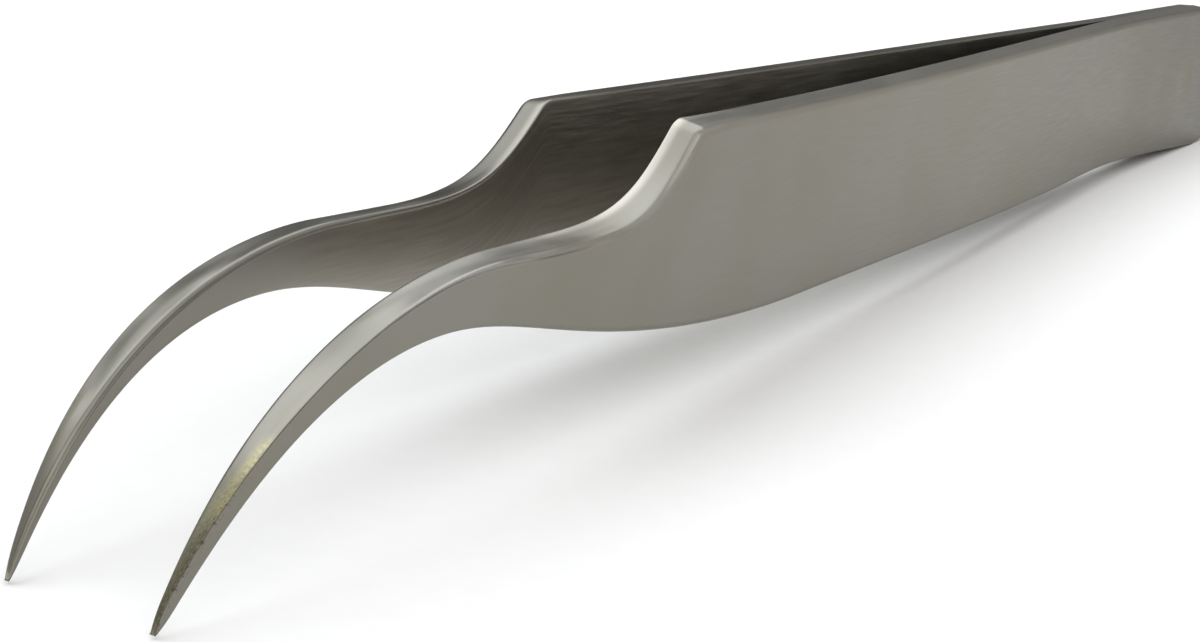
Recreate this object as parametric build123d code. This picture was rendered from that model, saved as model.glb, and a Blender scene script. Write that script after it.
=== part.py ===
from build123d import *
import os

# Fine-point curved tweezers. Two stamped stainless blades are spot welded
# back to back at the heel and spring apart towards two hooked points.
# Units are mm. +X runs from the points to the heel, +Y is the left blade's
# side, +Z is up in the plane of the blades. The points and the lower corner
# of the heel stand on z = 0, and the mirror plane between the blades is y = 0.

# ---- driving dimensions ----
LENGTH = 122.0         # points to heel end
STOCK = 1.4            # thickness of the blade stock
TIP_STOCK = 0.2        # thickness left at the point after grinding
GRIND = 13.0           # length of the ground taper on the outer face
CUT_X = 86.0           # middle of the stretch that bends, from the points
CUT_GAP = 0.1          # clearance across that cut
HEEL_X = 101.0         # the blades touch each other from here back
TAIL_X = 117.0         # the heel's end taper starts here
TAIL_RADIUS = 2.5      # corner radius at the heel end
SHOULDER_RADIUS = 1.2  # round on the shoulder of each blade
HALF_GAP = (3.18, 4.00, 2.35, 0.66)  # control values of the half gap's cubic along the arm
WELD_X = (105.5, 112.5)  # spot weld centres
WELD_Z = 5.6
WELD_RADIUS = 1.7      # nugget radius
WELD_DEPTH = 0.45      # nugget depth into each blade

OFFSET = -LENGTH / 2


def half_gap(x):
    """Distance of the inner face from the mirror plane, x from the points."""
    a, b, c, d = HALF_GAP
    if x <= CUT_X:
        u = x / CUT_X
        v = 1 - u
        return a * v**3 + 3 * b * u * v**2 + 3 * c * u**2 * v + d * u**3
    if x >= HEEL_X:
        return 0.0
    h = HEEL_X - CUT_X
    u = (x - CUT_X) / h
    knee = d + (d - c) * h / CUT_X
    return d * (1 - u)**3 + 3 * knee * u * (1 - u)**2


def thickness(x):
    """Blade thickness: full stock, ground down towards the point."""
    left = max(0.0, 1 - x / GRIND)
    return STOCK - (STOCK - TIP_STOCK) * left**3


def slope(f, x, side):
    """One-sided slope of f at x; side is +1 ahead of x and -1 behind it."""
    step = 1e-5 * side
    return (f(x + step) - f(x)) / step


def plan_curve(f, x0, x1):
    """The stretch of y = f(x) from x0 to x1, as one cubic in plan."""
    third = (x1 - x0) / 3
    y0 = f(x0) + slope(f, x0, 1) * third
    y1 = f(x1) - slope(f, x1, -1) * third
    points = [(x0, f(x0)), (x0 + third, y0), (x1 - third, y1), (x1, f(x1))]
    return Bezier(*[(x + OFFSET, y, 0) for x, y in points])


def side_curve(*points):
    """A Bezier curve in the plane of the blade; points are (x, z)."""
    return Bezier(*[(x + OFFSET, 0, z) for x, z in points])


def side_line(*points):
    return Polyline(*[(x + OFFSET, 0, z) for x, z in points])


def eased(before, corner, after, radius):
    """Start, middle and end of the arc that rounds a corner; points are (x, z)."""
    corner = Vector(*corner)
    back = (Vector(*before) - corner).normalized()
    ahead = (Vector(*after) - corner).normalized()
    cosine = back.dot(ahead)
    reach = radius * ((1 + cosine) / (1 - cosine)) ** 0.5
    depth = radius * (2 / (1 - cosine)) ** 0.5 - radius
    middle = corner + (back + ahead).normalized() * depth
    arc = (corner + back * reach, middle, corner + ahead * reach)
    return [(point.X, point.Y) for point in arc]


def outline():
    """Side view of one blade, from the point over the top and back."""
    neck = (16.0, 9.35)
    hollow = (21.3, 9.2)
    step = (27.2, 9.95)          # pulls the step up towards the shoulder
    shoulder = (30.1, 12.5)
    ridge = (59.1, 11.75)        # shapes the top of the handle
    top_end = (TAIL_X, 11.15)
    low_end = (TAIL_X, 0.0)
    waist = (88.0, 1.58)
    belly = (40.0, 3.0)
    crook = (12.3, 7.25)
    point_top = (0.0, 0.3)
    point_low = (0.14, 0.0)
    knob = eased(step, shoulder, ridge, SHOULDER_RADIUS)
    rim = [
        side_curve(point_top, (3.35, 6.5), (9.5, 9.35), neck),
        side_line(neck, hollow),
        side_curve(hollow, (25.8, 9.15), step, knob[0]),
        ThreePointArc(*[(x + OFFSET, 0, z) for x, z in knob]),
        side_curve(knob[2], ridge, (88.0, 11.78), top_end),
        side_line(top_end, (LENGTH, 10.4), (LENGTH, 0.35), low_end),
        side_curve(low_end, (104.0, 0.95), (95.7, 1.5), waist),
        side_curve(waist, (74.0, 1.6), (56.0, 2.58), belly),
        side_curve(belly, (22.6, 3.65), (17.9, 7.25), crook),
        side_curve(crook, (5.6, 7.25), (2.2, 2.85), point_low),
        side_line(point_low, point_top),
    ]
    face = make_face(Wire(sum([part.edges() for part in rim], [])))
    corners = face.vertices().filter_by_position(Axis.X, LENGTH / 2, LENGTH / 2)
    return fillet(corners, TAIL_RADIUS)


def plan():
    """Top view of the left blade."""
    def outer(x):
        return half_gap(x) + thickness(x)

    end = LENGTH + OFFSET
    heel = HEEL_X + OFFSET
    rim = [
        plan_curve(half_gap, 0, CUT_X),
        plan_curve(half_gap, CUT_X, HEEL_X),
        Polyline((heel, 0, 0), (end, 0, 0), (end, STOCK, 0), (heel, STOCK, 0)),
        plan_curve(outer, CUT_X, HEEL_X),
        plan_curve(outer, GRIND, CUT_X),
        plan_curve(outer, 0, GRIND),
        Line((OFFSET, outer(0), 0), (OFFSET, half_gap(0), 0)),
    ]
    return make_face(Wire(sum([part.edges() for part in rim], [])))


def nugget(x):
    """One spot weld: a lens of melted metal across the joint."""
    radius = (WELD_RADIUS**2 + WELD_DEPTH**2) / (2 * WELD_DEPTH)
    shift = radius - WELD_DEPTH
    place = (x + OFFSET, 0, WELD_Z)
    front = Pos(place[0], shift, place[2]) * Sphere(radius)
    back = Pos(place[0], -shift, place[2]) * Sphere(radius)
    return front & back


def slab(x0, x1):
    """A block that takes in both blades between two stations."""
    block = Box(x1 - x0, 30, 40)
    return Pos((x0 + x1) / 2 + OFFSET, 0, 6) * block


side = extrude(outline(), amount=12, dir=(0, 1, 0))
top = extrude(plan(), amount=20, dir=(0, 0, 1))
top = Pos(0, 0, -2) * top
blade = side & top
welds = [nugget(x) for x in WELD_X]

left_arm = blade & slab(-5, CUT_X - CUT_GAP / 2)
left_heel = blade & slab(CUT_X + CUT_GAP / 2, LENGTH + 5)
for weld in welds:
    left_heel = left_heel - weld

os.makedirs("parts", exist_ok=True)
parts = {
    "left_arm": left_arm,
    "left_heel": left_heel,
    "right_arm": mirror(left_arm, about=Plane.XZ),
    "right_heel": mirror(left_heel, about=Plane.XZ),
    "weld_front": welds[0],
    "weld_rear": welds[1],
}
for name, shape in parts.items():
    export_step(shape, "parts/" + name + ".step")
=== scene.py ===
import math

import bpy
from mathutils import Matrix, Vector


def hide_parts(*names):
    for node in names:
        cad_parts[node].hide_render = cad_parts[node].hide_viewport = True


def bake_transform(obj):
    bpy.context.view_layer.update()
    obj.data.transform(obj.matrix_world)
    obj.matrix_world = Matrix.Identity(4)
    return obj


# Curved fine-point tweezers. Each blade is one springy strip of satin
# stainless steel, so one mesh a side stands for that side's CAD arm and heel.
# Lengths below are mm, and x runs from the points to the heel; MM and OFFSET
# turn them into the row frame.

MM = 0.001
LENGTH = 122.0
OFFSET = -LENGTH / 2
STOCK = 1.4            # blade thickness
TIP_STOCK = 0.2        # thickness at the point
GRIND = 13.0           # length of the ground taper
HINGE_X = 86.0         # middle of the stretch that bends
HEEL_X = 101.0         # the blades touch from here back
TAIL_X = 117.0         # start of the end taper
HALF_GAP = (3.18, 4.00, 2.35, 0.66)   # control values of the half gap along the arm
SHOULDER = (30.1, 12.5)               # top of the step up to the handle
SHOULDER_RADIUS = 1.2
TAIL_RADIUS = 2.5
TAIL_TOP = 11.15
RIDGE_A, RIDGE_B = (59.1, 11.75), (88.0, 11.78)   # shape the top of the handle
END_TOP, END_LOW = 10.4, 0.35
WELDS = ((105.5, 5.6), (112.5, 5.6))
DIMPLE_RADIUS = 2.0    # electrode marks over the welds
DIMPLE_DEPTH = 0.02
HEAT_RADIUS = 4.5      # reach of the welds' heat colour
HEAT_RISE = 0.6        # how far it sits above each weld

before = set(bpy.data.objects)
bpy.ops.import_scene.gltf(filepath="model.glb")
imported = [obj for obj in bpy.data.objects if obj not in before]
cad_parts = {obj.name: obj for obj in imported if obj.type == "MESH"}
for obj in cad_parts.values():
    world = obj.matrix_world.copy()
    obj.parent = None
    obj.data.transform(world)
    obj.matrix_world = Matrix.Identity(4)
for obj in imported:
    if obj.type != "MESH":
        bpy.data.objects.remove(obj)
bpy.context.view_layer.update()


# ---------------------------------------------------------------- blade form

def mix(a, b, t):
    return a + (b - a) * t


def fade(x, start, end):
    """0 before start, 1 after end, and a smooth step between them."""
    t = min(1.0, max(0.0, (x - start) / (end - start)))
    return t * t * (3 - 2 * t)


def half_gap(x):
    """Distance of a blade's inner face from the mirror plane."""
    a, b, c, d = HALF_GAP
    if x <= HINGE_X:
        u = x / HINGE_X
        v = 1 - u
        return a * v**3 + 3 * b * u * v**2 + 3 * c * u**2 * v + d * u**3
    if x >= HEEL_X:
        return 0.0
    h = HEEL_X - HINGE_X
    u = (x - HINGE_X) / h
    knee = d + (d - c) * h / HINGE_X
    return d * (1 - u)**3 + 3 * knee * u * (1 - u)**2


def thickness(x):
    """Thickness of a blade, ground thinner towards the point."""
    left = min(1.0, max(0.0, 1 - x / GRIND))
    return STOCK - (STOCK - TIP_STOCK) * left**3


def bezier(points, count):
    """count points along a cubic, the last one left out."""
    p = [Vector(q) for q in points]
    out = []
    for i in range(count):
        t = i / count
        s = 1 - t
        near = p[0] * s**3 + p[1] * 3 * s * s * t
        out.append(near + p[2] * 3 * s * t * t + p[3] * t**3)
    return out


def line(a, b, count):
    """count points from a towards b, the last one left out."""
    a, b = Vector(a), Vector(b)
    return [a.lerp(b, i / count) for i in range(count)]


def round_corner(before, corner, after, radius, count):
    """The arc that eases a corner, both of its ends included."""
    corner = Vector(corner)
    a = (Vector(before) - corner).normalized()
    b = (Vector(after) - corner).normalized()
    half = a.angle(b) / 2
    reach = radius / math.tan(half)
    centre = corner + (a + b).normalized() * radius / math.sin(half)
    start = corner + a * reach - centre
    finish = corner + b * reach - centre
    turn = start.angle_signed(finish)
    out = []
    for i in range(count + 1):
        out.append(centre + Matrix.Rotation(-turn * i / count, 2) @ start)
    return out


def at_x(path, x):
    """The point of a path at x."""
    for a, b in zip(path, path[1:]):
        if a.x <= x <= b.x and b.x > a.x:
            return a.lerp(b, (x - a.x) / (b.x - a.x))
    return (path[0] if x < path[0].x else path[-1]).copy()


# Spacing of the ribs: open along the handle, close over the weld marks.
HANDLE_STEP, HANDLE_RIBS = 1.2, 59
HEEL_RIBS_X, HEEL_STEP, HEEL_RIBS = 102.0, 0.35, 43


def top_path():
    """The upper edge, from the point to the start of the end taper."""
    neck, hollow, step = (16.0, 9.35), (21.3, 9.2), (27.2, 9.95)
    path = bezier([(0.0, 0.3), (3.35, 6.5), (9.5, 9.35), neck], 84)
    path += line(neck, hollow, 20)
    knob = round_corner(step, SHOULDER, RIDGE_A, SHOULDER_RADIUS, 10)
    path += bezier([hollow, (25.8, 9.15), step, knob[0]], 56) + knob
    back = bezier([knob[-1], RIDGE_A, RIDGE_B, (TAIL_X, TAIL_TOP)], 400)
    back.append(Vector((TAIL_X, TAIL_TOP)))
    stops = [knob[-1].x + HANDLE_STEP * i for i in range(1, HANDLE_RIBS)]
    stops += [HEEL_RIBS_X + HEEL_STEP * i for i in range(HEEL_RIBS)]
    path += [at_x(back, x) for x in stops]
    return path


def low_path():
    """The lower edge over the same stretch, finely divided."""
    crook, belly, waist = (12.3, 7.25), (40.0, 3.0), (88.0, 1.58)
    path = bezier([(0.14, 0.0), (2.2, 2.85), (5.6, 7.25), crook], 160)
    path += bezier([crook, (17.9, 7.25), (22.6, 3.65), belly], 160)
    path += bezier([belly, (56.0, 2.58), (74.0, 1.6), waist], 160)
    path += bezier([waist, (95.7, 1.5), (104.0, 0.95), (TAIL_X, 0.0)], 100)
    return path + [Vector((TAIL_X, 0.0))]


# Where a rib that starts at x on the upper edge ends on the lower edge.
RIB_KEYS = (
    (0.0, 0.14), (0.5, 0.75), (1.5, 1.95), (3.0, 3.55), (5.2, 5.9),
    (8.0, 8.5), (11.0, 11.2), (16.0, 15.4), (21.3, 20.2), (26.0, 24.8),
    (30.5, 29.8), (37.0, 37.0), (TAIL_X, TAIL_X),
)


def partner_x(x):
    """Where the rib from x on the upper edge meets the lower edge."""
    for (a, low_a), (b, low_b) in zip(RIB_KEYS, RIB_KEYS[1:]):
        if x <= b:
            return mix(low_a, low_b, (x - a) / (b - a))
    return x


def edges():
    """The upper and lower edge as two lists of matching points."""
    top = top_path()
    fine = low_path()
    low = [at_x(fine, partner_x(p.x)) for p in top]
    low[0] = fine[0]
    high, base, mid_end = (TAIL_X, TAIL_TOP), (TAIL_X, 0.0), (LENGTH, 5.0)
    high_end = round_corner(high, (LENGTH, END_TOP), mid_end, TAIL_RADIUS, 12)
    low_end = round_corner(base, (LENGTH, END_LOW), mid_end, TAIL_RADIUS, 12)
    top += line(high, high_end[0], 8) + high_end
    low += line(base, low_end[0], 8) + low_end
    return top, low


def inward(path, sign):
    """Unit normals of a path, pointing into the blade."""
    out = []
    for i in range(len(path)):
        a = path[max(0, i - 1)]
        b = path[min(len(path) - 1, i + 1)]
        d = (b - a).normalized()
        out.append(Vector((d.y, -d.x)) * sign)
    out[-1] = Vector((-1.0, 0.0))
    return out


# Radii of the eased edges.
EASE_POINT_TOP, EASE_POINT_LOW = 0.07, 0.06
EASE_NECK = 0.26
EASE_HANDLE = 0.36
INNER_POINT, INNER_HANDLE = 0.18, 0.07


def edge_radius(x, upper):
    """How far the outer edges are eased: crisp at the points, soft on the handle."""
    if upper:
        soft = mix(EASE_POINT_TOP, EASE_NECK, fade(x, 4.0, 20.0))
        return mix(soft, EASE_HANDLE, fade(x, 22.0, 32.0))
    return mix(EASE_POINT_LOW, EASE_NECK, fade(x, 6.0, 28.0))


ROUND_STEPS = 9      # segments of an outer edge's round
INNER_STEPS = 5      # segments of an inner edge's smaller round
WALL_SHARES = (0.06, 0.3, 0.6, 0.94)   # divisions of the edge between the rounds
CHAIN_SIZE = ROUND_STEPS + 1 + len(WALL_SHARES) + INNER_STEPS + 1
SPANS = 20           # divisions across a face
PAD, MOST_PAD = 0.08, 0.04             # first division in from a round: mm, and most share
NOSE_PULLS = (0.30, 0.14, 0.05, 0.01)  # how far the first ribs draw in to a rounded nose
INNER_WEAR = 0.12    # wear of the inner edges, where the outer ones have 1
# Slope of the ground upper edge towards the outside: at the point, where the
# edge steps up to the handle, and along the handle. Hand grinding left the
# right blade sloping more than the left one.
CANTS = {"left": (0.07, 0.11, 0.04), "right": (0.07, 0.25, 0.12)}
CANT_PIVOT = 0.78    # share of the thickness where the slope crosses the outline


def chain(edge, normal, width, x, upper, cants):
    """One edge's points from the outer face round to the inner face.

    Each is (x, z, depth, side, wear): depth is measured from the outer face
    when side is 1 and from the inner face when side is 0.
    """
    thick = thickness(x)
    radius = min(edge_radius(x, upper), 0.4 * width, 0.5 * thick)
    inner = mix(INNER_POINT, INNER_HANDLE, fade(x, 12.0, 26.0))
    inner = min(inner, 0.3 * width, 0.35 * thick)
    at_point, at_step, on_handle = cants
    slope = mix(at_point, at_step, fade(x, 12.0, 21.0))
    slope = mix(slope, on_handle, fade(x, 29.5, 33.5))
    cant = min(slope * thick, 0.2 * width) if upper else 0.0

    def step(inset, depth, side, wear):
        out = depth if side else thick - depth
        lean = cant * (CANT_PIVOT - out / thick)
        p = edge + normal * (inset + lean)
        return (p.x, p.y, depth, side, wear)

    out = []
    for k in range(ROUND_STEPS + 1):
        angle = math.pi / 2 * (1 - k / ROUND_STEPS)
        inset, depth = radius * (1 - math.cos(angle)), radius * (1 - math.sin(angle))
        out.append(step(inset, depth, 1, math.sin(2 * angle)))
    wall = thick - radius - inner
    for share in WALL_SHARES:
        out.append(step(0.0, radius + wall * share, 1, 0.0))
    for k in range(INNER_STEPS + 1):
        angle = math.pi / 2 * k / INNER_STEPS
        inset, depth = inner * (1 - math.cos(angle)), inner * (1 - math.sin(angle))
        out.append(step(inset, depth, 0, INNER_WEAR * math.sin(2 * angle)))
    return out


def dimple(x, z):
    """Depth of the electrode marks over the spot welds."""
    deep = 0.0
    for wx, wz in WELDS:
        r = math.hypot(x - wx, z - wz) / DIMPLE_RADIUS
        deep += DIMPLE_DEPTH * (1 - fade(r, 0.35, 1.0))
    return deep


def heat(x, z):
    """How much the welds have coloured the steel."""
    warm = 0.0
    for wx, wz in WELDS:
        warm += 1 - fade(math.hypot(x - wx, z - wz - HEAT_RISE), 0.0, HEAT_RADIUS)
    return warm


def place(point):
    """A chain point as (x, y, z) on the left blade, and its depth from the outer face."""
    x, z, depth, side = point[:4]
    if side:
        sunk = dimple(x, z) if depth == 0 else 0.0
        return Vector((x, half_gap(x) + thickness(x) - depth - sunk, z)), depth
    return Vector((x, half_gap(x) + depth, z)), thickness(x) - depth


def blade_mesh(name, mirror, cants):
    """One whole blade, with where each vertex lies on it kept as attributes.

    flow is (along from the point, across from the upper edge, depth from the
    outer face) in mm; marks is (edge wear, upper rim, weld heat).
    """
    top, low = edges()
    top_in, low_in = inward(top, 1), inward(low, -1)
    verts, flows, marks, faces = [], [], [], []
    run = 0.0
    loops = []

    def add(point, along, across, rim):
        p, depth = place(point)
        verts.append(Vector(((p.x + OFFSET) * MM, p.y * MM * mirror, p.z * MM)))
        flows.append((along, across, depth))
        marks.append((point[4], rim, heat(p.x, p.z)))
        return len(verts) - 1

    def between(a, b, share):
        return tuple(mix(u, v, share) for u, v in zip(a[:3], b[:3])) + (a[3], 0.0)

    for i, (t, l) in enumerate(zip(top, low)):
        if i:
            run += ((top[i] + low[i]) / 2 - (top[i - 1] + low[i - 1]) / 2).length
        width = (t - l).length
        if i < len(NOSE_PULLS):
            pull = NOSE_PULLS[i]
            t, l = t.lerp(l, pull), l.lerp(t, pull)
        upper = chain(t, top_in[i], width, t.x, True, cants)
        lower = chain(l, low_in[i], width, l.x, False, cants)
        pad = min(MOST_PAD, PAD / width)
        inside = [mix(pad, 1 - pad, k / (SPANS - 2)) for k in range(1, SPANS - 2)]
        shares = [pad] + inside + [1 - pad]
        loop = {"upper": [], "lower": [], "outer": [], "inner": []}
        for k, p in enumerate(upper):
            rim = fade(k / ROUND_STEPS, 0.6, 1.0) if k < CHAIN_SIZE - 1 else 0.0
            loop["upper"].append(add(p, run, 0.0, rim))
        for p in lower:
            loop["lower"].append(add(p, run, width, 0.0))
        for s in shares:
            loop["outer"].append(add(between(upper[0], lower[0], s), run, width * s, 0.0))
            loop["inner"].append(add(between(upper[-1], lower[-1], s), run, width * s, 0.0))
        loop["shares"] = shares
        loop["sides"] = (upper, lower)
        loop["run"] = run
        loop["width"] = width
        loops.append(loop)

    def ring(loop):
        return loop["upper"] + loop["inner"] + loop["lower"][::-1] + loop["outer"][::-1]

    for a, b in zip(loops, loops[1:]):
        ra, rb = ring(a), ring(b)
        n = len(ra)
        for j in range(n):
            faces.append((ra[j], ra[(j + 1) % n], rb[(j + 1) % n], rb[j]))

    for loop, flip in ((loops[0], True), (loops[-1], False)):
        upper, lower = loop["sides"]
        rows = []
        for r in range(CHAIN_SIZE):
            if r == 0:
                inside = loop["outer"]
            elif r == CHAIN_SIZE - 1:
                inside = loop["inner"]
            else:
                inside = []
                for s in loop["shares"]:
                    p = between(upper[r], lower[r], s)
                    inside.append(add(p, loop["run"], loop["width"] * s, 0.0))
            rows.append([loop["upper"][r]] + inside + [loop["lower"][r]])
        for above, below in zip(rows, rows[1:]):
            for j in range(len(above) - 1):
                quad = (above[j], above[j + 1], below[j + 1], below[j])
                faces.append(quad if flip else quad[::-1])

    if mirror < 0:
        faces = [f[::-1] for f in faces]
    mesh = bpy.data.meshes.new(name)
    mesh.from_pydata([tuple(v) for v in verts], [], faces)
    mesh.validate()
    for title, values in (("flow", flows), ("marks", marks)):
        layer = mesh.attributes.new(title, "FLOAT_VECTOR", "POINT")
        layer.data.foreach_set("vector", [part for value in values for part in value])
    mesh.shade_smooth()
    piece = bpy.data.objects.new(name, mesh)
    bpy.context.scene.collection.objects.link(piece)
    return piece


# ----------------------------------------------------------------- materials

class Nodes:
    """A small helper for building a node tree."""

    def __init__(self, name):
        self.material = bpy.data.materials.new(name)
        self.material.use_nodes = True
        self.tree = self.material.node_tree
        self.tree.nodes.clear()

    def new(self, kind, **inputs):
        node = self.tree.nodes.new(kind)
        for key, value in inputs.items():
            self.feed(node.inputs[key.replace("_", " ")], value)
        return node

    def feed(self, socket, value):
        if hasattr(value, "is_output"):
            self.tree.links.new(value, socket)
        else:
            socket.default_value = value

    def math(self, operation, a, b):
        node = self.tree.nodes.new("ShaderNodeMath")
        node.operation = operation
        self.feed(node.inputs[0], a)
        self.feed(node.inputs[1], b)
        return node.outputs[0]

    def times(self, first, *others):
        """The product of any number of values."""
        for value in others:
            first = self.math("MULTIPLY", first, value)
        return first

    def add(self, first, *others):
        """The sum of any number of values."""
        for value in others:
            first = self.math("ADD", first, value)
        return first

    def window(self, value, rise, fall):
        """1 between two ramps, each given as where it starts and ends."""
        return self.times(self.ramp(value, *rise), self.ramp(value, *fall, 1.0, 0.0))

    def ramp(self, value, low, high, to_low=0.0, to_high=1.0):
        node = self.new("ShaderNodeMapRange", Value=value)
        node.interpolation_type = "SMOOTHSTEP"
        node.inputs["From Min"].default_value = low
        node.inputs["From Max"].default_value = high
        node.inputs["To Min"].default_value = to_low
        node.inputs["To Max"].default_value = to_high
        return node.outputs[0]

    def noise(self, vector, scale, detail, rough):
        node = self.new("ShaderNodeTexNoise", Vector=vector, Scale=scale, Detail=detail)
        node.inputs["Roughness"].default_value = rough
        return node.outputs["Fac"]

    def stretch(self, vector, factors):
        node = self.new("ShaderNodeVectorMath", Vector=vector)
        node.operation = "MULTIPLY"
        node.inputs[1].default_value = factors
        return node.outputs[0]

    def blend(self, share, a, b):
        node = self.tree.nodes.new("ShaderNodeMix")
        node.data_type = "RGBA"
        self.feed(node.inputs[0], share)
        self.feed(node.inputs[6], a)
        self.feed(node.inputs[7], b)
        return node.outputs[2]

    def finish(self, shader):
        """Make a shader the material's surface."""
        out = self.tree.nodes.new("ShaderNodeOutputMaterial")
        self.tree.links.new(shader.outputs[0], out.inputs[0])
        return self.material


STEEL = (0.208, 0.195, 0.162, 1)
STEEL_LIGHT = (0.230, 0.219, 0.194, 1)
STEEL_GRAIN = (0.205, 0.195, 0.176, 1)
STEEL_WEAR_AND_SHEEN = (0.33, 0.32, 0.30, 1)       # worn edges, and a painted highlight on the near blade's neck
STEEL_PAINTED_LIGHT = (0.425, 0.400, 0.352, 1)   # painted light that brightens the inner faces and the far point's upper edge
# painted shade, darkening the steel towards the heel
STEEL_HEEL_SHADE = (0.122, 0.113, 0.096, 1)
STEEL_HEAT = (0.165, 0.145, 0.108, 1)    # coloured by the welds
# painted shade on the ground upper edges
STEEL_SHADE = (0.110, 0.108, 0.094, 1)
STEEL_GLANCE = (0.83, 0.82, 0.80, 1)     # tint of the reflection at a grazing angle
SCUFF_GOLD = (0.385, 0.355, 0.200, 1)
SCUFF_OLIVE = (0.255, 0.242, 0.182, 1)
SCUFF_RIDGE = (0.185, 0.167, 0.112, 1)
SCUFF_DARK = (0.045, 0.036, 0.022, 1)
WELD_DARK = (0.20, 0.18, 0.15, 1)
WELD_LIGHT = (0.42, 0.38, 0.33, 1)
FLOOR_DARK = (0.80, 0.79, 0.775, 1)
FLOOR_LIGHT = (0.83, 0.82, 0.805, 1)

# Noise frequencies along the blade, across it and through it, in cycles a mm.
BRUSHING = (0.30, 7.0, 7.0)
GRAIN = (3.0, 26.0, 26.0)
GRIT = (8.0, 8.0, 5.0)
FLECKS = (6.0, 16.0, 18.0)
WAVES = (0.26, 0.5, 0.7)
CLOUDS = 0.10

# Depth of the relief, in metres.
WAVE_RELIEF = 0.00016
FINE_RELIEF = 0.00003

# Roughness of the satin, from the smoothest streak to the roughest.
SATIN_LOW, SATIN_HIGH = 0.27, 0.36

# How scuffed each point is, which also scales the painted shade and
# highlight on the ground upper edges; how much painted shade dims the
# ground upper edge behind the point; and the colour of each handle's upper
# edge, darkened by painted shade on the left.
FINISH_AND_PAINTED_LIGHT = {
    "left": (0.22, 0.36, (0.092, 0.084, 0.068, 1)),
    "right": (1.0, 0.0, (0.235, 0.223, 0.200, 1)),
}


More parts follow.
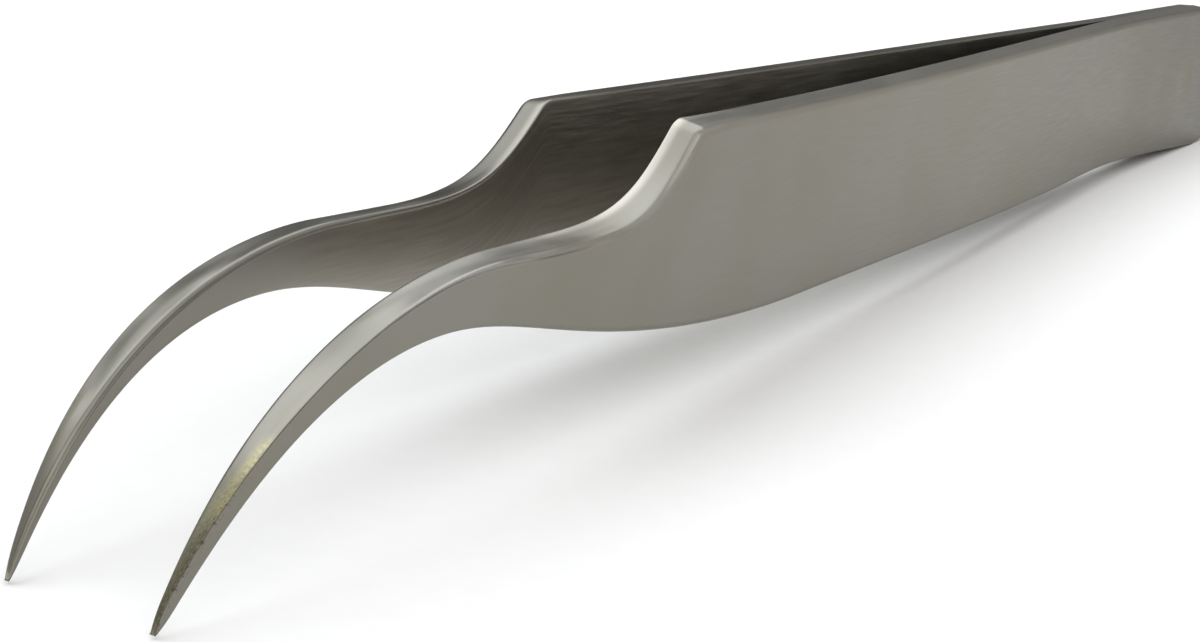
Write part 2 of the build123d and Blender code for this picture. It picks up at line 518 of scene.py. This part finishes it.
def steel(name, scuff_and_painted_light, painted_dimming, rim_shade_colour):
    """Satin stainless: fine lengthwise brushing, worn edges, scuffed points, and painted
    light and shade on the inner faces, the heel and the ground upper edges.

    along, across and depth are the mm that blade_mesh keeps on each vertex.
    """
    n = Nodes(name)

    def read(title):
        """A mesh attribute as a vector, and as its three parts."""
        node = n.tree.nodes.new("ShaderNodeAttribute")
        node.attribute_name = title
        vector = node.outputs["Vector"]
        return vector, n.new("ShaderNodeSeparateXYZ", Vector=vector).outputs

    flow, (along, across, depth) = read("flow")
    wear, rim, heated = read("marks")[1]

    brush = n.noise(n.stretch(flow, BRUSHING), 1.0, 5.0, 0.65)
    grain = n.noise(n.stretch(flow, GRAIN), 1.0, 3.0, 0.6)
    cloud = n.noise(flow, CLOUDS, 3.0, 0.5)

    # the satin itself, brightened on the inner faces by painted light and darkened towards
    # the heel by painted shade
    colour = n.blend(n.ramp(cloud, 0.32, 0.68), STEEL, STEEL_LIGHT)
    colour = n.blend(n.times(n.ramp(brush, 0.45, 0.8), 0.30), colour, STEEL_LIGHT)
    colour = n.blend(n.times(n.ramp(grain, 0.5, 0.8), 0.12), colour, STEEL_GRAIN)
    inside = n.times(
        n.ramp(depth, 0.9, 1.25),
        n.ramp(along, 10.0, 26.0),
        n.ramp(along, 50.0, 82.0, 1.0, 0.15),
        n.ramp(brush, 0.25, 0.75, 0.62, 1.0))
    colour = n.blend(inside, colour, STEEL_PAINTED_LIGHT)
    on_handle = n.ramp(along, 33.0, 39.0)
    # painted shade: the left handle's upper rim is darkened, while the right one keeps near
    # plain steel
    colour = n.blend(n.times(rim, on_handle, 0.9), colour, rim_shade_colour)
    # painted shade: the steel darkens towards the heel
    colour = n.blend(n.ramp(along, 60.0, 126.0, 0.0, 0.85), colour, STEEL_HEEL_SHADE)
    colour = n.blend(n.times(heated, 0.45), colour, STEEL_HEAT)
    worn = n.times(wear, n.ramp(brush, 0.30, 0.62), n.ramp(along, 30.0, 42.0, 0.45, 0.12))
    colour = n.blend(worn, colour, STEEL_WEAR_AND_SHEEN)

    # the ground upper edge: a patch of painted shade, a stretch evenly dimmed
    # by painted shade or lightened by a painted highlight, painted shade on the
    # inner corner, and a painted highlight on the neck
    upper = n.ramp(across, 0.01, 0.12, 1.0, 0.0)
    on_top = n.times(upper, n.ramp(depth, 0.0, 0.05))
    # painted shade: a darker patch on the upper edge of the point, strongest on the right
    # blade
    patch = n.times(
        n.window(along, (9.2, 11.0), (11.2, 13.2)),
        on_top,
        n.ramp(depth, 0.2, 1.0, 0.25, 0.70))
    colour = n.blend(n.times(patch, 0.75 * scuff_and_painted_light), colour, STEEL_SHADE)
    # painted shade dims the left blade's upper edge behind its point
    evenly = n.times(on_top, n.ramp(along, 12.0, 17.0))
    colour = n.blend(n.times(evenly, painted_dimming), colour, STEEL_SHADE)
    # painted highlight: the left point's upper edge is lightened near the tip
    far_point_highlight = n.times(on_top, n.ramp(along, 3.4, 7.4, 0.85, 0.0))
    colour = n.blend(n.times(far_point_highlight, 1.0 - scuff_and_painted_light), colour, STEEL_PAINTED_LIGHT)
    # painted shade on the left blade's inner upper corner, hiding its highlight
    corner = n.times(n.ramp(wear, 0.01, 0.07), n.ramp(depth, 0.15, 0.30), upper)
    colour = n.blend(n.times(corner, 1.3 * painted_dimming), colour, STEEL_SHADE)
    # painted highlight on the right blade's neck
    bright = n.times(n.window(along, (14.0, 17.0), (17.5, 21.0)), on_top)
    colour = n.blend(n.times(bright, 0.45 * scuff_and_painted_light), colour, STEEL_WEAR_AND_SHEEN)

    # the scuffed point: an olive film low down, golden scratches beside the
    # ridge above it, and dark specks right through
    grit = n.noise(n.stretch(flow, GRIT), 1.0, 6.0, 0.85)
    fleck = n.noise(n.stretch(flow, FLECKS), 1.0, 3.0, 0.7)
    film = n.times(
        on_top,
        n.ramp(along, 3.9, 6.3, 1.0, 0.0),
        n.ramp(grit, 0.25, 0.55, 0.55, 1.0))
    olive = n.blend(n.ramp(depth, 0.05, 0.45), SCUFF_RIDGE, SCUFF_OLIVE)
    gold = n.times(
        on_top,
        n.ramp(depth, 0.15, 0.60, 1.0, 0.0),
        n.window(along, (3.2, 4.6), (6.4, 7.4)),
        n.ramp(grit, 0.43, 0.54, 0.25, 1.0))
    low_gold = n.times(
        on_top,
        n.ramp(along, 4.0, 6.0, 1.0, 0.0),
        0.42,
        n.ramp(fleck, 0.50, 0.40))
    specks = n.times(
        n.ramp(along, 4.2, 6.8, 1.0, 0.0),
        n.ramp(fleck, 0.52, 0.64),
        n.ramp(depth, 0.05, 0.40, 1.0, 0.30),
        n.ramp(across, 0.03, 0.14, 1.0, 0.0))
    colour = n.blend(n.times(film, 0.92 * scuff_and_painted_light), colour, olive)
    colour = n.blend(n.times(gold, 0.90 * scuff_and_painted_light), colour, SCUFF_GOLD)
    colour = n.blend(n.times(low_gold, scuff_and_painted_light), colour, SCUFF_GOLD)
    colour = n.blend(n.times(specks, 0.60 * scuff_and_painted_light), colour, SCUFF_DARK)

    rough = n.add(
        n.ramp(brush, 0.25, 0.75, SATIN_LOW, SATIN_HIGH),
        n.times(film, 0.12 * scuff_and_painted_light),
        n.times(n.ramp(cloud, 0.3, 0.7), 0.04))

    # relief: the ground upper edge rises and falls a little, under the
    # brushing and the scuffs
    wave = n.noise(n.stretch(flow, WAVES), 1.0, 1.0, 0.4)
    wave = n.times(wave, n.ramp(along, 24.0, 32.0, 1.0, 0.0), on_top)
    waves = n.new("ShaderNodeBump", Height=wave, Strength=1.0, Distance=WAVE_RELIEF)
    height = n.add(
        n.times(brush, 0.5),
        n.times(grain, 0.12),
        n.times(film, grit, 1.2 * scuff_and_painted_light))
    bump = n.new("ShaderNodeBump", Height=height, Strength=0.12, Distance=FINE_RELIEF)
    n.feed(bump.inputs["Normal"], waves.outputs[0])

    shader = n.new("ShaderNodeBsdfPrincipled", Roughness=rough, Metallic=1.0)
    shader.inputs["Specular Tint"].default_value = STEEL_GLANCE
    n.feed(shader.inputs["Base Color"], colour)
    n.feed(shader.inputs["Normal"], bump.outputs[0])
    return n.finish(shader)


def weld_metal():
    """Dull melted steel of the nuggets between the blades."""
    n = Nodes("weld_metal")
    where = n.tree.nodes.new("ShaderNodeTexCoord").outputs["Object"]
    cells = n.noise(where, 2500.0, 4.0, 0.6)
    colour = n.blend(cells, WELD_DARK, WELD_LIGHT)
    bump = n.new("ShaderNodeBump", Height=cells, Strength=0.3, Distance=FINE_RELIEF)
    rough = n.ramp(cells, 0.3, 0.7, 0.4, 0.6)
    shader = n.new("ShaderNodeBsdfPrincipled", Roughness=rough, Metallic=1.0)
    n.feed(shader.inputs["Base Color"], colour)
    n.feed(shader.inputs["Normal"], bump.outputs[0])
    return n.finish(shader)


def paper():
    """The pale floor."""
    n = Nodes("pale_floor")
    where = n.tree.nodes.new("ShaderNodeTexCoord").outputs["Object"]
    grain = n.noise(where, 900.0, 3.0, 0.5)
    shader = n.new("ShaderNodeBsdfPrincipled", Roughness=0.85)
    shader.inputs["Specular IOR Level"].default_value = 0.1
    n.feed(shader.inputs["Base Color"], n.blend(grain, FLOOR_DARK, FLOOR_LIGHT))
    return n.finish(shader)


# -------------------------------------------------------------------- pieces

for side, mirror in (("left", 1), ("right", -1)):
    blade = blade_mesh(side + "_blade_strip", mirror, CANTS[side])
    blade.data.materials.append(steel(side + "_satin_steel", *FINISH_AND_PAINTED_LIGHT[side]))
    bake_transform(blade)
    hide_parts(side + "_arm", side + "_heel")

nugget = weld_metal()
for name in ("weld_front", "weld_rear"):
    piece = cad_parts[name]
    piece.data.materials.clear()
    piece.data.materials.append(nugget)

# --------------------------------------------------------------------- stage

REACH = 2.0          # half the floor's side, in metres
ROOM_GREY = (0.37, 0.368, 0.362, 1)
ROOM_DARK = (0.09, 0.085, 0.076, 1)
DARK_SIDE = (0.786, 0.614, 0.07)        # the unlit side of the room
DARK_FROM, DARK_TO = 0.895, 0.978       # cosines of where it starts and is full

floor_mesh = bpy.data.meshes.new("floor")
floor_mesh.from_pydata(
    [(-REACH, -REACH, 0), (REACH, -REACH, 0), (REACH, REACH, 0), (-REACH, REACH, 0)],
    [], [(0, 1, 2, 3)])
floor = bpy.data.objects.new("floor", floor_mesh)
bpy.context.scene.collection.objects.link(floor)
floor.data.materials.append(paper())

scene = bpy.context.scene
scene.view_settings.view_transform = "Standard"
world = bpy.data.worlds.new("studio")
scene.world = world
world.use_nodes = True
backdrop = world.node_tree.nodes["Background"]
where = world.node_tree.nodes.new("ShaderNodeTexCoord")
toward = world.node_tree.nodes.new("ShaderNodeVectorMath")
toward.operation = "DOT_PRODUCT"
toward.inputs[1].default_value = Vector(DARK_SIDE).normalized()
falloff = world.node_tree.nodes.new("ShaderNodeMapRange")
falloff.interpolation_type = "SMOOTHSTEP"
falloff.inputs["From Min"].default_value = DARK_FROM
falloff.inputs["From Max"].default_value = DARK_TO
shade = world.node_tree.nodes.new("ShaderNodeMix")
shade.data_type = "RGBA"
shade.inputs[6].default_value = ROOM_GREY
shade.inputs[7].default_value = ROOM_DARK
join = world.node_tree.links.new
join(where.outputs["Generated"], toward.inputs[0])
join(toward.outputs["Value"], falloff.inputs["Value"])
join(falloff.outputs[0], shade.inputs[0])
join(shade.outputs[2], backdrop.inputs[0])


def softbox(name, spot, size, power, tint):
    """A rectangular light, in metres and watts, aimed at the object."""
    light = bpy.data.lights.new(name, "AREA")
    light.shape = "RECTANGLE"
    light.size, light.size_y = size
    light.energy = power
    light.color = tint
    lamp = bpy.data.objects.new(name, light)
    scene.collection.objects.link(lamp)
    lamp.location = spot
    lamp.rotation_euler = (-lamp.location).to_track_quat("-Z", "Y").to_euler()


softbox("overhead", (0.08, 0.19, 0.47), (0.85, 0.50), 3.15, (0.91, 0.955, 1.0))
softbox("front", (0.38, -0.49, 0.33), (1.30, 0.80), 2.10, (1.0, 0.985, 0.965))
softbox("fill", (-0.24, -0.40, 0.60), (0.85, 0.72), 2.6, (0.97, 0.98, 1.0))

# -------------------------------------------------------------------- camera

AZIMUTH, ELEVATION, ROLL = (math.radians(v) for v in (-57.80, 15.62, 2.65))
DISTANCE = 83.18 * MM
AIM = Vector(((30.09 + OFFSET) * MM, 0, 3.15 * MM))
FRAME_WIDTH = 1200
FOCAL_PX = 1892.2     # focal length for a frame this wide
SENSOR = 36.0         # mm

back = Vector((
    math.sin(AZIMUTH) * math.cos(ELEVATION),
    -math.cos(AZIMUTH) * math.cos(ELEVATION),
    math.sin(ELEVATION)))
right = Vector((math.cos(AZIMUTH), math.sin(AZIMUTH), 0))
up = back.cross(right)
right, up = (
    right * math.cos(ROLL) + up * math.sin(ROLL),
    up * math.cos(ROLL) - right * math.sin(ROLL))
camera_data = bpy.data.cameras.new("camera")
camera_data.sensor_width = SENSOR
camera_data.lens = SENSOR * FOCAL_PX / FRAME_WIDTH
camera_data.clip_start = 0.005
camera_data.clip_end = 20
camera = bpy.data.objects.new("camera", camera_data)
scene.collection.objects.link(camera)
turn = Matrix((right, up, back)).transposed().to_4x4()
camera.matrix_world = Matrix.Translation(AIM + back * DISTANCE) @ turn
scene.camera = camera
